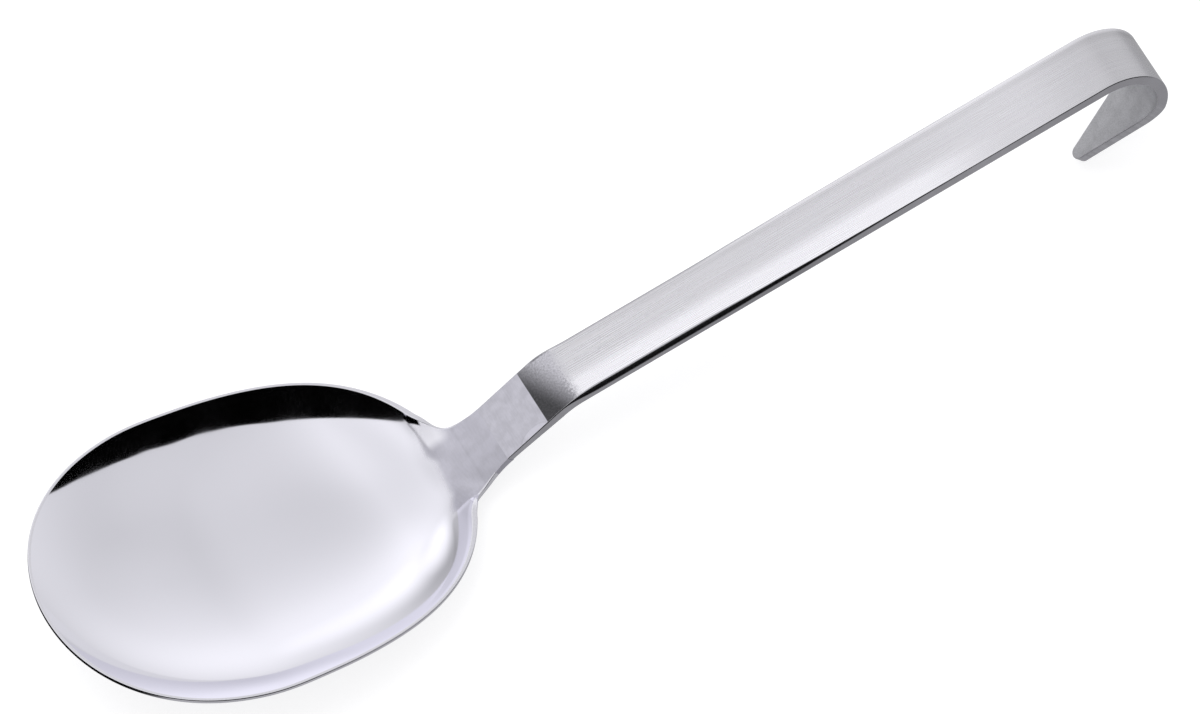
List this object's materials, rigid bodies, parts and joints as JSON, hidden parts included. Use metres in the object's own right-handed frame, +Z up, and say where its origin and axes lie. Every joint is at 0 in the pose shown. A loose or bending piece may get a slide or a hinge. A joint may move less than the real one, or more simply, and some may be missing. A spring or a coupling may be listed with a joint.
{
  "type": "serving spoon",
  "caption": "Serving spoon with a shallow egg-shaped bowl and a flat strip handle that bends at the neck and ends in a tapered hook for hanging.",
  "frame": {"origin": "under the middle of the spoon's length, on the table that it lies on, on its plane of symmetry", "axes": "+X along the length from the bowl's tip to the hook, +Y across the spoon, +Z up with the hollow of the bowl facing up"},
  "size_m": [0.3296, 0.0948, 0.04],
  "materials": {
    "bowl_steel": "polished",
    "weld_steel": "ground",
    "handle_steel": "satin"
  },
  "bodies": {
    "root": {"bowl": "bowl_steel", "weld_seam": "weld_steel", "handle": "handle_steel"}
  },
  "joints": []
}
